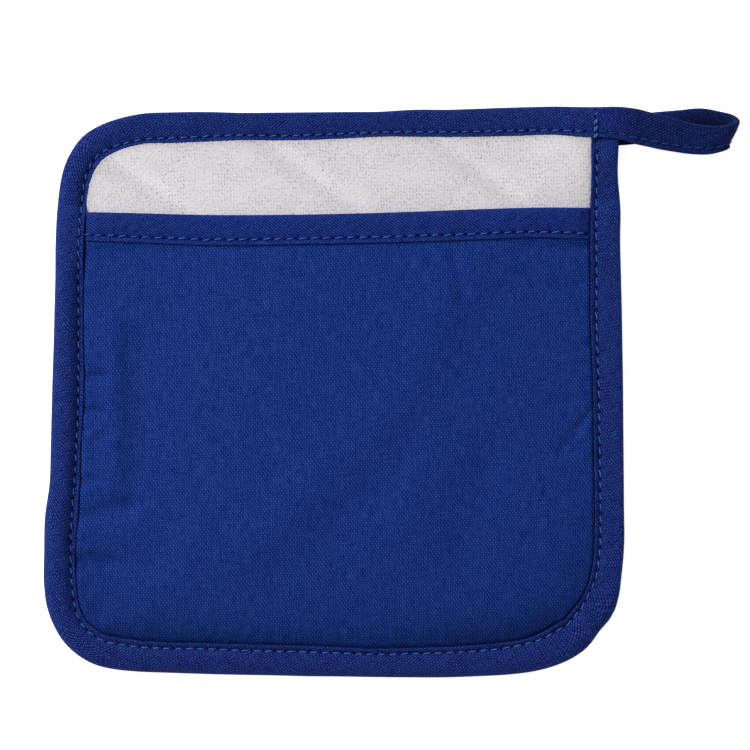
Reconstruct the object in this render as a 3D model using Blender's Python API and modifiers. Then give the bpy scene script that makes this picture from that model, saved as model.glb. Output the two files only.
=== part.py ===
"""A quilted pot holder with a hand pocket and a hanging loop, lying on its back.

The pad is white terry over batting, quilted in diamonds. A blue canvas pocket covers the lower part of its front,
with folded tape over the pocket's mouth. Bias tape binds the whole edge, and its tail makes the loop at the top
right corner. Seen from the front, +X is to the right and +Y is up, and +Z comes out of the front face. The origin
is on the surface that the pot holder lies on, under the middle of its body. Lengths are in millimetres until the
meshes are made.
"""

import math

import bmesh
import bpy
import numpy as np
from mathutils import Vector
from mathutils.geometry import delaunay_2d_cdt

MM = 0.001

# Layers
CLOTH = 1.0  # thickness of each layer of cloth
GAP = 0.3  # kept between layers that touch
PAD_EDGE = 1.5  # thickness of the pad where the binding pinches it
PAD_CROWN = 6.0  # height of the puffs between the quilting
PAD_CHANNEL = 3.9  # height of the front along the quilting
BACK_CHANNEL = 0.8  # how far the quilting draws in the back
CHANNEL_REACH = 2.9  # how far from the thread the back is drawn in
PAD_EDGE_FLOOR = CLOTH + GAP
PAD_EDGE_TOP = PAD_EDGE_FLOOR + PAD_EDGE
TAPE_LEGS = 2 * CLOTH + GAP  # thickness of tape folded flat

# The binding: its height over the terry, over the pocket, and over the ends of the pocket's tape
GROOVE = 0.65  # depth of the stitched groove near its inner edge
GROOVE_INSET = 1.9  # of the stitches from that edge
LIP_INSET = 1.0
LIP_DROP = 0.35
TERRY_HEIGHT = PAD_EDGE_TOP + GAP + CLOTH + GROOVE
POCKET_HEIGHT = TERRY_HEIGHT + CLOTH + GAP
TAPE_HEIGHT = PAD_EDGE_TOP + GAP + TAPE_LEGS + GAP + CLOTH
ZONES = (38, 50, 67, 78)  # in Y: pocket below the first, its tape between the middle two, terry above the last

# The outline, counterclockwise from the square corner where the loop is
OUTLINE = (
    # x, y, width of the binding
    (98.8, 99.4, 10.6),
    (67.4, 99.4, 9.2),
    (35.9, 98.4, 8.8),
    (-0.8, 97.6, 9.0),
    (-48.1, 97.5, 9.8),
    (-64.0, 97.2, 10.2),
    (-74.3, 95.9, 10.3),
    (-84.8, 92.2, 10.3),
    (-92.3, 85.6, 10.3),
    (-96.0, 77.0, 10.2),
    (-98.1, 64.4, 10.3),
    (-98.8, 39.2, 10.5),
    (-99.6, 8.0, 10.4),
    (-100.7, -28.0, 11.0),
    (-102.2, -44.8, 11.3),
    (-103.0, -60.0, 11.4),
    (-100.9, -77.4, 11.3),
    (-94.2, -89.2, 11.0),
    (-84.8, -95.2, 10.7),
    (-69.0, -97.4, 10.5),
    (-27.0, -98.5, 10.2),
    (25.4, -99.1, 9.8),
    (62.2, -98.1, 11.0),
    (77.9, -94.0, 11.6),
    (89.1, -86.8, 11.4),
    (95.8, -78.0, 10.8),
    (98.9, -65.8, 10.4),
    (100.0, -45.0, 10.4),
    (99.9, -15.4, 10.5),
    (99.1, 39.2, 10.7),
    (98.7, 64.4, 10.5),
    (98.1, 80.0, 10.4),
    (98.8, 99.4, 10.4),
)
CORNER_X, CORNER_Y, CORNER_WIDTH = OUTLINE[0]
TACK_X = 90.5  # the tail is tacked across here, where the loop's node begins
START_GAP = 0.7  # from the tail's lower edge to the binding's start on the right side

# The quilting: a crossing of its threads, and the steps from one crossing to the next
CROSSING = np.array((-7.8, 73.9))
STEP_A = np.array((34.8, -26.2))
STEP_B = np.array((20.7, 30.7))
CELL_DIVISIONS = (0.0, 0.08, 0.36, 0.64, 0.92)  # of a step, finest beside the thread

# The pocket
PAD_INSET = 3.5  # of the pad's edge from the outline
POCKET_INSET = 3.5
PILLOW = 12.0  # width of the rounding from the binding up to the pad's full height
SLACK = 1.0  # room between the pocket and the pad
GAPE = 4.8  # more of it at the middle of the mouth
GAPE_HALF_WIDTH = 95.0
GAPE_FROM, GAPE_FULL = -60.0, 40.0  # in Y
POCKET_PITCH = 7.0  # of the points in its surface
MOUTH = (
    # x, y of the tape's upper edge, width of the tape
    (-91.0, 62.9, 10.1),
    (-72.6, 62.5, 10.3),
    (-44.6, 61.8, 10.7),
    (-16.6, 61.8, 10.5),
    (25.4, 62.8, 10.6),
    (53.4, 63.9, 10.7),
    (67.4, 64.3, 10.5),
    (91.0, 64.3, 11.2),
)
MOUTH_NEAR = (91.0, 89.2, 87.4, 85.6, 83.8, 82.0, 79.5, 77.0, 74.0)  # X of its sections beside the binding
MOUTH_MIDDLE = 17  # number of sections between them
TAPE_CLOSING = 4.5  # length over which its legs close beside the binding
TUCK_X = 82.0  # as far out as the pocket's cloth reaches into the tape
TUCK_DEPTH = CLOTH + 0.8  # from the tape's upper edge to the edge of the pocket's cloth
FOLDS = (
    # x and y of one end, x and y of the other, half width, height (below zero for a trough)
    (-82.0, 25.0, -82.0, -34.0, 4.5, 1.3),
    (-72.5, 22.0, -72.5, -38.0, 4.5, -0.6),
    (37.0, 50.0, 23.0, -14.0, 9.0, -1.0),
    (23.0, -14.0, -19.0, -59.0, 9.0, -0.6),
    (88.0, -10.0, 73.0, -24.0, 4.5, -0.6),
    (-88.0, -43.0, -69.0, -42.0, 4.5, -0.6),
)

# The loop's end lies under the corner and lifts it
TAB_LEFT, TAB_LOW = 88.5, 85.5
LIFT = TAPE_LEGS + GAP
LIFT_REACH = 24.0
CORNER_MIDDLE = LIFT + TERRY_HEIGHT / 2
LEG_TOP = 8.2  # height of the upper leg's middle
FLAT = TAPE_LEGS / 2  # height of the lower leg's middle
LOOP = (
    # x, y, z of the tape's middle, its thickness, its width, degrees that its width leans to the right
    (TACK_X + GAP, 94.1, CORNER_MIDDLE, TERRY_HEIGHT, 10.6, 0),
    (99.2, 94.1, CORNER_MIDDLE, TERRY_HEIGHT, 10.6, 0),
    (104.5, 93.0, 6.2, 3.9, 10.9, 4),
    (111.0, 91.4, 7.7, 2.6, 11.0, 8),
    (118.0, 90.0, LEG_TOP, TAPE_LEGS, 11.0, 11),
    (126.0, 88.8, LEG_TOP, TAPE_LEGS, 10.6, 12),
    (133.6, 89.0, LEG_TOP, TAPE_LEGS, 10.3, 15),
    (136.6, 89.8, 7.1, TAPE_LEGS, 10.2, 17),
    (137.8, 90.5, 4.7, TAPE_LEGS, 10.2, 17),
    (136.6, 91.2, 2.2, TAPE_LEGS, 10.2, 17),
    (133.4, 92.2, FLAT, TAPE_LEGS, 10.3, 15),
    (126.0, 93.6, FLAT, TAPE_LEGS, 10.5, 12),
    (111.0, 92.6, FLAT, TAPE_LEGS, 10.5, 4),
    (99.0, 91.7, FLAT, TAPE_LEGS, 10.5, 0),
    (90.0, 91.7, FLAT, TAPE_LEGS, 10.5, 0),
)

MATERIALS = {
    # colour, roughness
    "terry": ((0.655, 0.635, 0.67), 0.95),
    "canvas": ((0.010, 0.032, 0.182), 0.85),
    "tape": ((0.0098, 0.0237, 0.134), 0.85),
}


def ease(t):
    """Rises from 0 to 1, steeply at first and level at the end."""
    t = min(max(t, 0.0), 1.0)
    return 1 - (1 - t) ** 2


def blend(t):
    """Rises from 0 to 1, level at both ends."""
    t = min(max(t, 0.0), 1.0)
    return t * t * (3 - 2 * t)


def smooth(rows, pitch, axes):
    """Rows about pitch apart on a smooth curve through the given ones, whose first axes columns are a place."""
    rows = np.array(rows, float)
    steps = np.linalg.norm(np.diff(rows[:, :axes], axis=0), axis=1)
    run = np.concatenate([[0.0], np.cumsum(steps)])
    slope = np.gradient(rows, run, axis=0)
    at = np.linspace(0, run[-1], round(run[-1] / pitch) + 1)
    k = np.clip(np.searchsorted(run, at, side="right") - 1, 0, len(steps) - 1)
    length = steps[k][:, None]
    t = (at - run[k])[:, None] / length
    start = (1 + 2 * t) * (1 - t) ** 2 * rows[k] + t * (1 - t) ** 2 * length * slope[k]
    end = t**2 * (3 - 2 * t) * rows[k + 1] + t**2 * (t - 1) * length * slope[k + 1]
    return start + end


def lengths(points):
    """Length along the points up to each of them."""
    return np.concatenate([[0.0], np.cumsum(np.linalg.norm(np.diff(points, axis=0), axis=1))])


def stations(points, pitch, turn):
    """Lengths along the points at which sections go, at most pitch or a turn in degrees apart."""
    run = lengths(points)
    heading = np.gradient(points, run, axis=0)
    heading /= np.linalg.norm(heading, axis=1)[:, None]
    bends = np.degrees(np.arccos(np.clip((heading[1:] * heading[:-1]).sum(axis=1), -1, 1)))
    effort = np.concatenate([[0.0], np.cumsum(np.diff(run) / pitch + bends / turn)])
    return np.interp(np.linspace(0, effort[-1], math.ceil(effort[-1]) + 1), effort, run)


EDGE = smooth(OUTLINE, 1.0, 2)
EDGE_RUN = lengths(EDGE[:, :2])
EDGE_HEADING = np.gradient(EDGE[:, :2], EDGE_RUN, axis=0)
EDGE_HEADING /= np.linalg.norm(EDGE_HEADING, axis=1)[:, None]
EDGE_INWARD = np.column_stack([-EDGE_HEADING[:, 1], EDGE_HEADING[:, 0]])


def edge_stations(start, end):
    """Lengths along the outline for the sections between two of them, with one at each change of zone."""
    places = list(stations(EDGE[:, :2], 16.0, 12.0))
    for y in ZONES:
        above = EDGE[:, 1] > y
        for length in EDGE_RUN[1:][above[1:] != above[:-1]]:
            places = [p for p in places if abs(p - length) > 3.5] + [length]
    return [start, *(p for p in sorted(places) if start + 2 < p < end - 2), end]


def along(length):
    """The outline's place, inward direction and binding width at a length along it."""
    columns = [*EDGE[:, :2].T, *EDGE_INWARD.T, EDGE[:, 2]]
    x, y, inward_x, inward_y, width = (np.interp(length, EDGE_RUN, column) for column in columns)
    return np.array((x, y)), np.array((inward_x, inward_y)), width


def inside(x, y):
    """How far (x, y) is past the inner edge of the binding."""
    reach = np.hypot(EDGE[:, 0] - x, EDGE[:, 1] - y)
    nearest = reach.argmin()
    return reach[nearest] - EDGE[nearest, 2]


def lift(x, y):
    """How far the loop's end raises the corner above it."""
    away = math.hypot(max(TAB_LEFT - x, 0), max(TAB_LOW - y, 0))
    return LIFT * blend(1 - away / LIFT_REACH)


def binding_height(y):
    """Height of the binding above its own underside."""
    heights = (POCKET_HEIGHT, TAPE_HEIGHT, TAPE_HEIGHT, TERRY_HEIGHT)
    return np.interp(y, ZONES, heights)


def groove_depth(y):
    """Depth of the binding's stitched groove, which the pocket's tape fills where it passes under."""
    return np.interp(y, ZONES, (GROOVE, 0, 0, GROOVE))


def quilt_place(x, y):
    """(x, y) counted in steps of the quilting from its crossing."""
    return np.linalg.solve(np.column_stack([STEP_A, STEP_B]), np.array((x, y)) - CROSSING)


def threads_away(x, y):
    """Distances from (x, y) to the nearest thread of each family, and the half distances between threads."""
    area = abs(STEP_A[0] * STEP_B[1] - STEP_A[1] * STEP_B[0])
    spacing = np.array((area / np.linalg.norm(STEP_B), area / np.linalg.norm(STEP_A)))
    place = quilt_place(x, y)
    return np.abs(place - np.round(place)) * spacing, spacing / 2


def puff(x, y):
    """0 on the quilting's threads and 1 in the middle of a diamond."""
    away, half = threads_away(x, y)
    return float(np.prod(1 - (1 - away / half) ** 2.2))


def envelope(x, y):
    """Height of the pad's front as if it had no quilting."""
    low = PAD_EDGE_TOP + lift(x, y)
    return low + (PAD_CROWN - low) * ease((inside(x, y) - 0.5) / PILLOW)


def pad_front(x, y):
    """Height of the pad's front."""
    low = PAD_EDGE_TOP + lift(x, y)
    crown = PAD_CHANNEL + (PAD_CROWN - PAD_CHANNEL) * puff(x, y)
    return low + (crown - low) * ease((inside(x, y) - 0.5) / PILLOW)


def pad_back(x, y):
    """Height of the pad's back: flat, but drawn in along the quilting and over the binding's back."""
    drawn = BACK_CHANNEL * max(1 - threads_away(x, y)[0].min() / CHANNEL_REACH, 0)
    beside = PAD_EDGE_FLOOR * (1 - ease((inside(x, y) - 0.5) / (PILLOW / 2)))
    return lift(x, y) + max(drawn, beside)


def fold_height(x, y):
    """Height that the pocket's folds add."""
    total = 0.0
    for x0, y0, x1, y1, half, height in FOLDS:
        start = Vector((x0, y0))
        span = Vector((x1, y1)) - start
        reached = min(max((Vector((x, y)) - start).dot(span) / span.length_squared, 0), 1)
        away = (Vector((x, y)) - start - span * reached).length
        total += height * math.exp(-((away / half) ** 2))
    return total


def pocket_middle(x, y):
    """Height of the middle of the pocket's cloth."""
    gape = GAPE * max(1 - (x / GAPE_HALF_WIDTH) ** 2, 0) * blend((y - GAPE_FROM) / (GAPE_FULL - GAPE_FROM))
    free = ease((inside(x, y) - 0.5) / PILLOW)
    return envelope(x, y) + GAP + CLOTH / 2 + free * (SLACK + gape + fold_height(x, y))


def tape_profile(width, height, groove=0.0):
    """Middle of tape folded round an edge, as (distance in from the fold, height), from its back to its front."""
    radius = (height - CLOTH) / 2
    crown = height - CLOTH / 2
    points = [(width, CLOTH / 2)]
    for angle in np.radians((-90, -45, 0, 45, 90)):
        points.append((CLOTH / 2 + radius * (1 - math.cos(angle)), height / 2 + radius * math.sin(angle)))
    points.append((width * 0.55, crown))
    points.append((width - GROOVE_INSET, crown - groove))
    points.append((width - LIP_INSET, crown - groove * LIP_DROP / GROOVE))
    points.append((width, crown - groove * 0.85))
    return points


def ring(inset, shift):
    """The outline moved in by inset, and by the binding's width times shift, with its square corner."""
    corner = inset + shift * CORNER_WIDTH
    points = [(CORNER_X - corner, CORNER_Y - corner)]
    for length in edge_stations(0, EDGE_RUN[-1])[1:-1]:
        if not corner + 3 < length < EDGE_RUN[-1] - corner - 3:
            continue
        place, inward, width = along(length)
        points.append(tuple(place + inward * (inset + shift * width)))
    return points


def rings_from(inset):
    """Rings of points from the inset edge of a layer, past the binding and over the rounding inside it."""
    return [ring(inset, 0), ring(-GROOVE_INSET, 1), ring(0.5, 1), ring(3.5, 1), ring(7.5, 1)]


def mouth(x):
    """The Y of the upper edge and of the lower edge of the pocket's tape."""
    rows = smooth(MOUTH, 4.0, 2)
    top = np.interp(x, rows[:, 0], rows[:, 1])
    return top, top - np.interp(x, rows[:, 0], rows[:, 2])


def mouth_places(end):
    """X of the sections across the pocket's mouth, as far out as end."""
    near = [x for x in MOUTH_NEAR if x <= end]
    middle = np.linspace(-near[-1], near[-1], MOUTH_MIDDLE + 2)[1:-1]
    return [*(-x for x in near), *middle, *reversed(near)]


def triangulate(border, lines, points):
    """Flat mesh inside the border, with edges along the lines and corners at the other points."""
    corners = [Vector(p) for p in border]
    edges = []
    for line in lines:
        edges += [(k, k + 1) for k in range(len(corners), len(corners) + len(line) - 1)]
        corners += [Vector(p) for p in line]
    corners += [Vector(p) for p in points]
    result = delaunay_2d_cdt(corners, edges, [range(len(border))], 1, 1e-5)
    mesh = bmesh.new()
    verts = [mesh.verts.new((p.x, p.y, 0)) for p in result[0]]
    for face in result[2]:
        mesh.faces.new([verts[k] for k in face])
    for vert in [v for v in mesh.verts if not v.link_faces]:
        mesh.verts.remove(vert)
    return mesh


def strip(sections):
    """Open mesh over sections that have the same number of points."""
    mesh = bmesh.new()
    rows = [[mesh.verts.new(p) for p in section] for section in sections]
    for row, following in zip(rows, rows[1:]):
        for k in range(len(row) - 1):
            mesh.faces.new((row[k], following[k], following[k + 1], row[k + 1]))
    return mesh


def material(name):
    """The material of that name, made on its first use."""
    if name not in bpy.data.materials:
        colour, roughness = MATERIALS[name]
        made = bpy.data.materials.new(name)
        made.use_nodes = True
        shader = made.node_tree.nodes["Principled BSDF"]
        shader.inputs["Base Color"].default_value = (*colour, 1)
        shader.inputs["Roughness"].default_value = roughness
    return bpy.data.materials[name]


def add_object(name, mesh, finish, collection):
    """Put the mesh, whose points are in millimetres, into the collection as a named object."""
    bmesh.ops.scale(mesh, vec=(MM, MM, MM), verts=mesh.verts)
    data = bpy.data.meshes.new(name)
    mesh.to_mesh(data)
    mesh.free()
    data.shade_smooth()
    data.materials.append(material(finish))
    made = bpy.data.objects.new(name, data)
    collection.objects.link(made)
    return made


def add_cloth(name, mesh, finish, collection):
    """Put the mesh in as cloth: the surface is the middle of its thickness."""
    bmesh.ops.recalc_face_normals(mesh, faces=mesh.faces)
    made = add_object(name, mesh, finish, collection)
    solid = made.modifiers.new("thickness", "SOLIDIFY")
    solid.thickness = CLOTH * MM
    solid.offset = 0
    solid.use_even_offset = True
    return made


def quilt_points():
    """Points for the pad's surface that lie along the quilting's threads and between them."""
    points = []
    for a in range(-6, 7):
        for b in range(-7, 7):
            for part_a in CELL_DIVISIONS:
                for part_b in CELL_DIVISIONS:
                    point = CROSSING + (a + part_a) * STEP_A + (b + part_b) * STEP_B
                    if abs(point).max() < CORNER_Y and inside(*point) > 9.5:
                        points.append(tuple(point))
    return points


def make_pad(collection):
    """The filled pad: a flat mesh extruded, with its front and its back moved to their heights."""
    border, *inner = rings_from(PAD_INSET)
    mesh = triangulate(border, [[*line, line[0]] for line in inner], quilt_points())
    back = list(mesh.verts)
    grown = bmesh.ops.extrude_face_region(mesh, geom=list(mesh.faces))["geom"]
    for vert in back:
        vert.co.z = pad_back(vert.co.x, vert.co.y)
    for vert in (v for v in grown if isinstance(v, bmesh.types.BMVert)):
        vert.co.z = pad_front(vert.co.x, vert.co.y)
    bmesh.ops.recalc_face_normals(mesh, faces=mesh.faces)
    add_object("pad", mesh, "terry", collection)


def below_mouth(line, margin):
    """The stretch of a ring that is more than the margin below the pocket's tape."""
    return [p for p in line if p[1] < mouth(p[0])[1] - margin]


def pocket_border(edge):
    """The pocket's edge: round the body inside the binding, beside the tape's ends, and along the mouth in it."""
    left, right = edge[0][0], edge[-1][0]
    beside = [x for x in MOUTH_NEAR if x > TUCK_X] + [TUCK_X]
    ends = [(x, mouth(x)[1] - GAP - 0.05) for x in (right, *beside)]
    tucked = [(x, mouth(x)[0] - TUCK_DEPTH) for x in reversed(mouth_places(TUCK_X))]
    starts = [(x, mouth(x)[1] - GAP - 0.05) for x in (*(-x for x in reversed(beside)), left)]
    return [*edge, *ends, *tucked, *starts]


def make_pocket(collection):
    """The pocket's cloth, over the pad and its own folds."""
    edge, *lines = [below_mouth(line, 3.0) for line in rings_from(POCKET_INSET)]
    points = []
    for x in mouth_places(TUCK_X - 0.1):
        top, low = mouth(x)
        points += [(x, low - GAP - 0.05), (x, (top + low) / 2)]
    for x in np.arange(-11, 12) * POCKET_PITCH:
        rows = np.arange(mouth(x)[1] - POCKET_PITCH, -CORNER_Y, -POCKET_PITCH)
        points += [(x, y) for y in rows if inside(x, y) > 9.5]
    mesh = triangulate(pocket_border(edge), lines, points)
    for vert in mesh.verts:
        vert.co.z = pocket_middle(vert.co.x, vert.co.y)
    add_cloth("pocket", mesh, "canvas", collection)


def tape_section(x):
    """The pocket's tape at x: its back leg, its fold and its front leg round the pocket's edge."""
    top, low = mouth(x)
    opened = blend((inside(x, low) - 0.5) / TAPE_CLOSING)
    radius = ((CLOTH + GAP) * (1 + opened)) / 2

    def height(y):
        return max(pocket_middle(x, y), envelope(x, y) + GAP + CLOTH / 2 + radius)

    centre = top - CLOTH / 2 - radius
    section = [(x, y, height(y) - radius) for y in (low, (low + centre) / 2)]
    for angle in np.radians((-90, -45, 0, 45, 90)):
        section.append((x, centre + radius * math.cos(angle), height(centre) + radius * math.sin(angle)))
    section += [(x, y, height(y) + radius) for y in ((low + centre) / 2, low)]
    return section


def make_pocket_tape(collection):
    """Folded tape over the pocket's mouth, with its ends under the binding."""
    mesh = strip([tape_section(x) for x in mouth_places(MOUTH_NEAR[0])])
    add_cloth("pocket_tape", mesh, "tape", collection)


def make_binding(collection):
    """Folded tape round the edge, from beside the loop's tack round to the corner's lower side."""
    sections = []
    start = CORNER_X - TACK_X
    end = EDGE_RUN[-1] - CORNER_WIDTH - START_GAP
    for length in edge_stations(start, end):
        place, inward, width = along(length)
        profile = tape_profile(width, binding_height(place[1]), groove_depth(place[1]))
        section = []
        for away, height in profile:
            x, y = place + inward * away
            section.append((x, y, height + lift(x, y)))
        sections.append(section)
    add_cloth("binding", strip(sections), "tape", collection)


def make_loop(collection):
    """The tape's tail: folded round the corner, out and back as the loop, and under the corner again."""
    path = smooth(LOOP, 0.5, 3)
    run = lengths(path[:, :3])
    heading = np.gradient(path[:, :3], run, axis=0)
    sections = []
    for length in stations(path[:, :3], 7.0, 24.0):
        x, y, z, thickness, width, lean = (np.interp(length, run, column) for column in path.T)
        centre = Vector((x, y, max(z, thickness / 2)))
        across = Vector((math.sin(math.radians(lean)), math.cos(math.radians(lean)), 0))
        out = Vector([np.interp(length, run, column) for column in heading.T]).cross(across).normalized()
        section = []
        for away, height in tape_profile(width, thickness):
            section.append(centre + across * (width / 2 - away) + out * (height - thickness / 2))
        sections.append(section)
    add_cloth("loop", strip(sections), "tape", collection)


def main():
    """Make the pot holder in an empty scene."""
    for old in list(bpy.data.objects):
        bpy.data.objects.remove(old, do_unlink=True)
    collection = bpy.data.collections.new("pot_holder")
    bpy.context.scene.collection.children.link(collection)
    make_pad(collection)
    make_pocket(collection)
    make_pocket_tape(collection)
    make_binding(collection)
    make_loop(collection)


main()
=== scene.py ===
"""The looks of a quilted pot holder with a hand pocket and a hanging loop, seen from straight above.

Every layer is modelled again at a fine scale over its solid, with each row of stitching and the terry's pile.
Shapes are worked out in millimetres and made in metres. +X is right and +Y is up in the picture.
"""

import math

import bpy
import numpy as np
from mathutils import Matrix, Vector
from mathutils.geometry import delaunay_2d_cdt
from mathutils.kdtree import KDTree


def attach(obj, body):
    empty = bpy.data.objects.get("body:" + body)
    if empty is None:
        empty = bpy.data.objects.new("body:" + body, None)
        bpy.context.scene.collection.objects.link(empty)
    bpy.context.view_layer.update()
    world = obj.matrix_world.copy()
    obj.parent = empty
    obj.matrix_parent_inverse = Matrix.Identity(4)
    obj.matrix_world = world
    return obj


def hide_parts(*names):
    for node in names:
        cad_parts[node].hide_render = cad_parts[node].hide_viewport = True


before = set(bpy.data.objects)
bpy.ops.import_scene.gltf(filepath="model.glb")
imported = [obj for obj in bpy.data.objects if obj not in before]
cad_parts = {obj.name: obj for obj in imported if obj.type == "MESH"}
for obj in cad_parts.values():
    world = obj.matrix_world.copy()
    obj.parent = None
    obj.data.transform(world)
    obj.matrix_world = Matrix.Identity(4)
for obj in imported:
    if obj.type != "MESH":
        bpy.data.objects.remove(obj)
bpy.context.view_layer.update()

MM = 0.001

# Layers
TAPE_CLOTH = 0.38  # thickness of the tape's cloth
CANVAS = 0.5  # thickness of the pocket's cloth
PAD_EDGE_FLOOR = 1.3
PAD_EDGE_TOP = 3.1
PINCH = 0.85  # how much lower the stitches pull the pad's edge
PLUMP = 0.4  # how much higher the terry stands beside the binding
PAD_CROWN = 6.0  # height of the puffs between the quilting
PAD_CHANNEL = 3.9  # height of the front along the quilting
BACK_CHANNEL = 0.8
CHANNEL_REACH = 2.9

# The binding
TERRY_HEIGHT = 4.75  # over the terry
POCKET_HEIGHT = 6.05  # over the pocket
TAPE_HEIGHT = 6.7  # over the ends of the pocket's tape
ZONES = (38, 50, 62, 66.5)  # in Y: pocket, its tape between the middle two, and terry above the last
SEAM_PITCH = 3.95
SECTIONS_PER_STITCH = 5
GROOVE = 0.5  # depth of the valley that the stitches pull, all round on the back
TOP_GROOVE, LEFT_GROOVE = 0.5, 1.8  # more along the top and down the left side
LEFT_HEIGHT = 0.9  # more down the left side
ROLL_SHARE = 0.1  # of the tape's width that its rolled edge takes at the top and at the right
WIDE_ROLL = (0.34, 0.46)  # more at the left and at the bottom
LIP_RISE = 0.2  # of the lip over the valley
LIP_FOLD = 0.4  # radius of the turned edge
LIP_VALLEY = 0.35  # depth of the crease between the stitches and the lip
HOLE_DEPTH = 0.25  # extra depth where the thread goes in
HOLE_REACH = 1.2
LIP_UNDER = 1.2  # of the turned edge below the lip
RIPPLE = 0.08
TAPE_END_GROOVE = 0.5  # over the ends of the pocket's tape

# The outline, counterclockwise from the square corner where the loop is
OUTLINE = (
    # x, y, width of the binding, inset of its stitches from its inner edge
    (98.9, 99.7, 10.6, 2.03), (86.8, 99.6, 10.6, 2.03), (74.8, 99.9, 10.1, 1.65), (62.8, 99.7, 10.2, 1.93),
    (50.8, 99.3, 10.1, 1.99), (38.8, 98.9, 9.8, 1.82), (26.8, 98.9, 9.7, 1.77), (14.8, 98.2, 9, 1.59),
    (2.8, 98.1, 9.5, 1.78), (-9.2, 98, 9.9, 1.79), (-21.2, 97.9, 10, 1.7), (-33.2, 97.8, 9.8, 1.82),
    (-45.2, 98.1, 10.6, 1.97), (-57.2, 98, 11, 1.85), (-69.2, 97.4, 10.8, 1.65), (-76.2, 95.9, 10.8, 1.68),
    (-82.7, 93.6, 11, 2.11), (-88.8, 89.8, 11, 2.33), (-93.1, 84.3, 10.7, 2.4), (-95.9, 77.9, 10.5, 2.11),
    (-97.3, 71, 10.3, 1.95), (-98, 64, 10.3, 1.8), (-98.6, 52.1, 10.1, 1.72), (-98.7, 40.1, 10, 1.73),
    (-99, 28.1, 10.2, 1.6), (-99.3, 16.1, 10.6, 1.69), (-99.7, 4.1, 11.2, 1.94), (-100, -7.9, 11.1, 1.74),
    (-100.3, -19.9, 10.6, 1.54), (-100.7, -31.9, 10.8, 2.03), (-102.3, -43.8, 11.6, 2.06),
    (-102.6, -55.8, 11, 1.53), (-102.6, -67.8, 11.4, 1.44), (-101.7, -74.7, 11.3, 1.41),
    (-99.4, -81.3, 10.9, 1.68), (-95.85, -87.3, 10.9, 1.83), (-90.75, -92.15, 11.2, 2.11),
    (-84.6, -95.5, 11.2, 2.16), (-77.7, -97.1, 11.4, 2.26), (-70.8, -97.8, 11.1, 2.2),
    (-58.8, -98.3, 10.8, 2.06), (-46.8, -98.7, 11, 1.97), (-34.8, -99, 10.9, 2.08),
    (-22.8, -99.2, 10.8, 2.11), (-10.8, -99.5, 10.8, 2.07), (1.2, -99.6, 10.4, 1.95),
    (13.2, -99.8, 10.1, 1.88), (25.2, -99.9, 10.5, 1.96), (37.2, -99.9, 10.8, 1.94),
    (49.2, -99.5, 11.1, 2.09), (61.2, -98.8, 11.6, 1.83), (68.2, -97.9, 12, 1.71),
    (75.1, -96.2, 12.7, 2.05), (81.8, -93.4, 13.3, 2.12), (87.6, -89.3, 13.1, 2.16),
    (91.9, -83.6, 12.2, 1.93), (96.35, -78.1, 12.7, 1.65), (98.6, -71.3, 11.9, 1.56),
    (99.5, -64.3, 10.8, 1.95), (100.2, -57.3, 10.6, 2.02), (100.5, -50.3, 10.6, 2.16),
    (100.4, -43.3, 10.4, 2.02), (100.3, -31.3, 10.4, 2.03), (100.2, -19.3, 10.6, 2.1),
    (100.1, -7.3, 10.6, 2.04), (100, 4.7, 10.7, 2.02), (99.8, 16.7, 11, 1.99), (99.6, 28.7, 11.2, 2.14),
    (99.3, 40.7, 10.8, 2.16), (99, 52.7, 10.7, 2.23), (99.1, 64.7, 10.7, 2.09), (98.1, 76.7, 9.3, 1.92),
    (98.5, 88.7, 9.9, 2.07), (98.9, 99.7, 9.9, 2.07),
)
CORNER_X, CORNER_Y, CORNER_WIDTH, CORNER_INSET = OUTLINE[0]
TACK_X = 90.2  # the tail is tacked across here
TUCKED_UNDER = 2.0  # how far the right side's tape goes in under the top's
TUCK_GROOVE = 0.35
TUCK_DROP = 1.55  # how much lower it lies there
TUCK_REACH = 7.0
BINDING_START = CORNER_X - TACK_X  # along the outline from the corner

# The quilting
CROSSING = np.array((-7.8, 73.9))
STEP_A = np.array((34.8, -26.2))
STEP_B = np.array((20.7, 30.7))
QUILT_STEPS = np.column_stack([STEP_A, STEP_B])
QUILT_SPACING = 1 / np.linalg.norm(np.linalg.inv(QUILT_STEPS), axis=1)
QUILT_DEPTHS = np.array((0.5, 0.9))  # along the rising and the falling threads
QUILT_PITCH, QUILT_DASH = 4.6, 1.2
QUILT_RISE = 0.5  # of the thread over the cloth below the pile
QUILT_THREAD_RADIUS = 0.17

# The pocket
NEAR, FAR = 9.0, 60.0  # reach of the steep and the gentle rise from the binding to full height
FAR_BELOW = 28.0  # along the bottom
STEEP, STEEP_BELOW, STEEP_CORNER = 0.1, 0.5, 0.25  # share of the steep rise, and more of it lower down
SIDE_RISES = (0.8, 1.7)  # of the pocket's cloth beside the lip at the left and at the right
LAYER_RISE = 1.1  # of the pocket's cloth from the pad where both are sewn down
SLACK = 1.0  # room between the pocket and the pad
GAPE = 2.2  # how much the pocket stands open
GAPE_SIDES = (-66.0, 90.0)  # in X
GAPE_RISE = 60.0  # width of its slope at each side
GAPE_FROM, GAPE_FULL = -98.0, -45.0  # in Y
MOUTH = (
    # x, y of the tape's upper edge, width of the tape
    (-91, 62.9, 10.1), (-72.6, 62.5, 10.3), (-44.6, 61.8, 10.7), (-16.6, 61.8, 10.5), (25.4, 62.8, 10.6),
    (53.4, 63.9, 10.7), (67.4, 64.3, 10.5), (91, 64.3, 11.2),
)
MOUTH_END = 91.0
MOUTH_PITCH = 4.2  # of its stitches
MOUTH_SEAM = 2.1  # from its lower edge
MOUTH_GROOVE = 0.75
MOUTH_ROLL = 2.0
TAPE_CLOSING = 4.5  # length over which its legs close beside the binding
TUCK_DEPTH = 2.0  # of the pocket's edge below the fold of its tape
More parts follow.
